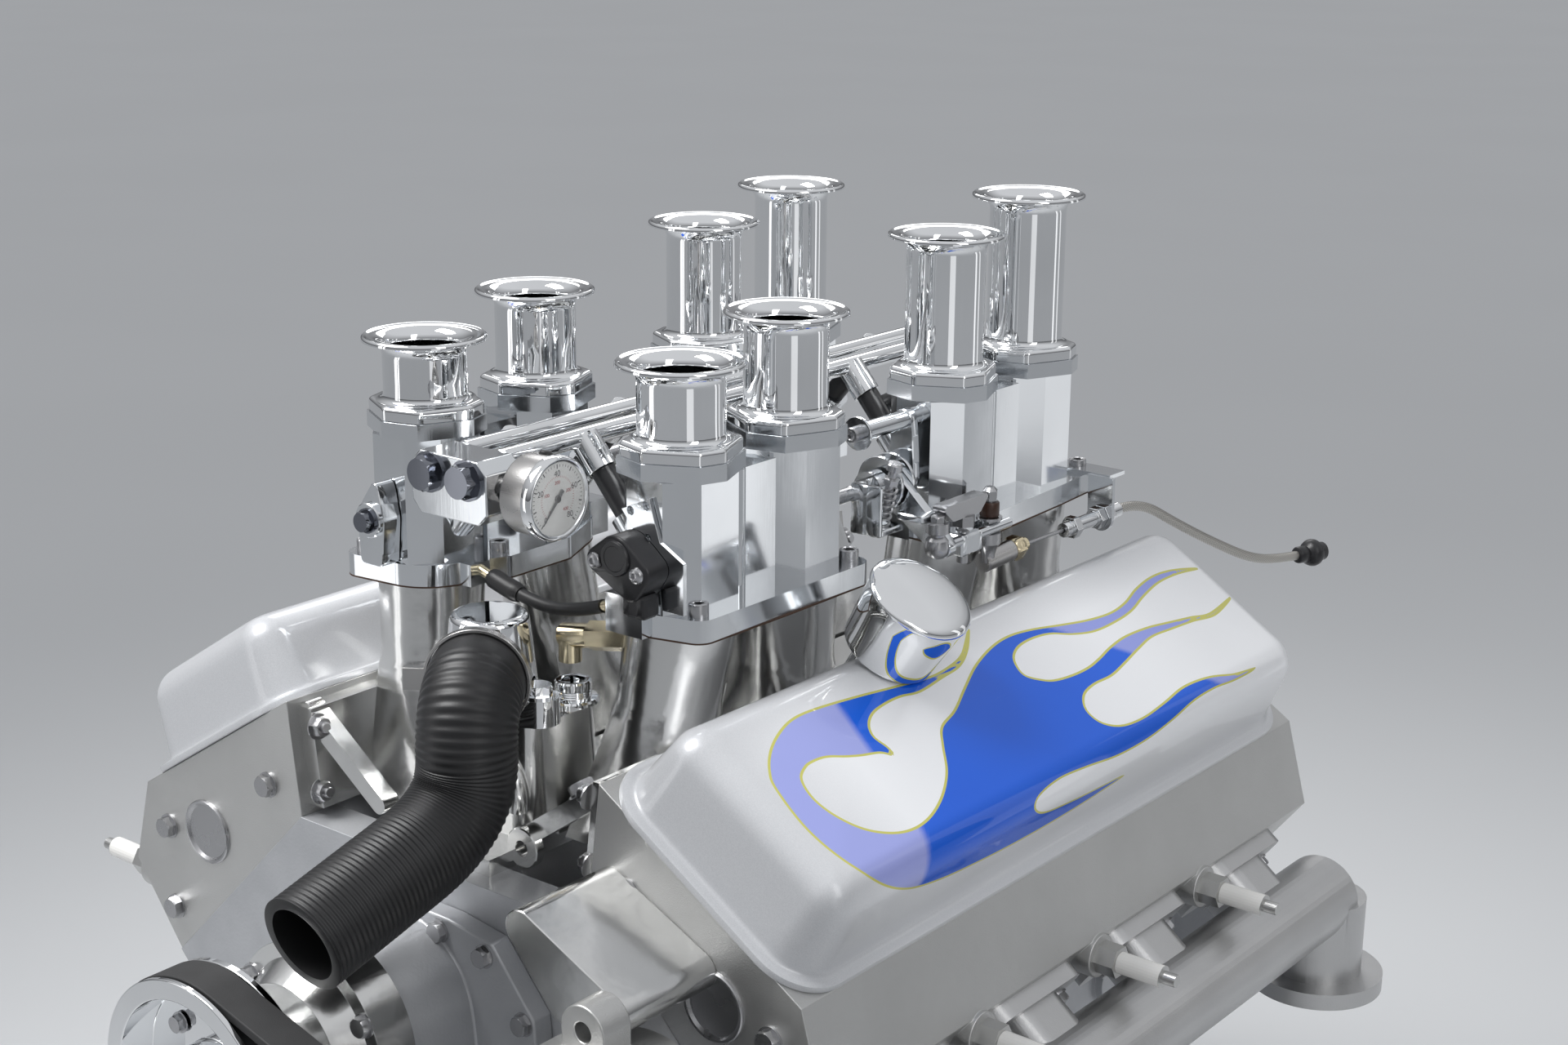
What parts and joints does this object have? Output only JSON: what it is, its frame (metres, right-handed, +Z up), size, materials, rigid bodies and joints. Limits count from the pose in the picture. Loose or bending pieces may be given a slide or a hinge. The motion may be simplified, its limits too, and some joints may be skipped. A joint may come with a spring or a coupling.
{
  "type": "v8 engine with eight-stack injection",
  "caption": "Small ninety degree V8 engine with a polished injection stack over each inlet port, silver flamed valve covers, belt drive and pressure gauge.",
  "frame": {"origin": "on the crank's centreline, in the plane of the block's rear face, midway between the two lower bellhousing bolts", "axes": "+X is the vehicle's left, -Y its front, +Z up; the crank runs along Y"},
  "size_m": [0.5932, 0.7994, 0.692],
  "materials": {
    "block_paint": "silver paint",
    "cast_aluminium": "polished casting",
    "billet_aluminium": "polished billet",
    "chrome": "chrome plate",
    "silver_paint": "pearl silver with blue flames, clear coated",
    "coated_steel": "bright coated",
    "steel": "machined steel",
    "black_rubber": "moulded rubber",
    "black_plastic": "moulded black plastic",
    "braided_steel": "braided stainless steel",
    "brass": "plated brass"
  },
  "bodies": {
    "engine": {"alternator": "cast_aluminium", "alternator_bracket": "cast_aluminium", "cable_adjuster": "chrome", "cable_bracket": "billet_aluminium", "cable_ferrule": "black_plastic", "coolant_hose": "black_rubber", "cylinder_block": "block_paint", "drive_belt": "black_rubber", "elbow_fitting": "brass", "engine_mount_left": "cast_aluminium", "engine_mount_right": "cast_aluminium", "exhaust_manifold_left": "coated_steel", "exhaust_manifold_right": "coated_steel", "fuel_rails": "billet_aluminium", "head_left": "cast_aluminium", "head_right": "cast_aluminium", "hose_clamp": "coated_steel", "injectors": "black_plastic", "intake_left": "cast_aluminium", "intake_right": "cast_aluminium", "oil_filter": "black_plastic", "oil_pan": "block_paint", "pressure_gauge": "coated_steel", "rail_block": "billet_aluminium", "rail_plugs": "chrome", "sensor_bracket": "billet_aluminium", "spark_plugs_left": "steel", "spark_plugs_right": "steel", "stack_left_1": "chrome", "stack_left_2": "chrome", "stack_left_3": "chrome", "stack_left_4": "chrome", "stack_right_1": "chrome", "stack_right_2": "chrome", "stack_right_3": "chrome", "stack_right_4": "chrome", "thermostat_housing": "chrome", "throttle_body_left_front": "billet_aluminium", "throttle_body_left_rear": "billet_aluminium", "throttle_body_right_front": "billet_aluminium", "throttle_body_right_rear": "billet_aluminium", "throttle_cable": "braided_steel", "throttle_linkage": "billet_aluminium", "throttle_sensor": "black_plastic", "throttle_shaft_left": "billet_aluminium", "throttle_shaft_right": "billet_aluminium", "timing_cover": "block_paint", "vacuum_barbs": "brass", "vacuum_hose": "black_rubber", "valley_cover": "cast_aluminium", "valve_cover_left": "silver_paint", "valve_cover_right": "silver_paint", "water_pump": "cast_aluminium"},
    "crank": {"crankshaft": "steel", "crank_damper": "chrome", "flywheel": "steel"},
    "pump_wheel": {"pump_pulley": "chrome"},
    "alternator_wheel": {"alternator_pulley": "chrome"},
    "breather": {"breather_cap": "chrome"}
  },
  "joints": [
    {"name": "crank_turn", "type": "hinge", "parent": "engine", "child": "crank", "pos_m": [0, -0.3, 0], "axis": [0, 1, 0], "continuous": true},
    {"name": "pump_turn", "type": "hinge", "parent": "engine", "child": "pump_wheel", "pos_m": [0, -0.656, 0.135], "axis": [0, 1, 0], "continuous": true},
    {"name": "alternator_turn", "type": "hinge", "parent": "engine", "child": "alternator_wheel", "pos_m": [0.168, -0.656, 0.118], "axis": [0, 1, 0], "continuous": true},
    {"name": "breather_lift", "type": "slide", "parent": "engine", "child": "breather", "axis": [0.5299, 0, 0.848], "range_m": [0, 0.06]}
  ],
  "couplings": [
    {"joint": "pump_turn", "follows": "crank_turn", "ratio": 1.1429},
    {"joint": "alternator_turn", "follows": "crank_turn", "ratio": 2.1333}
  ]
}
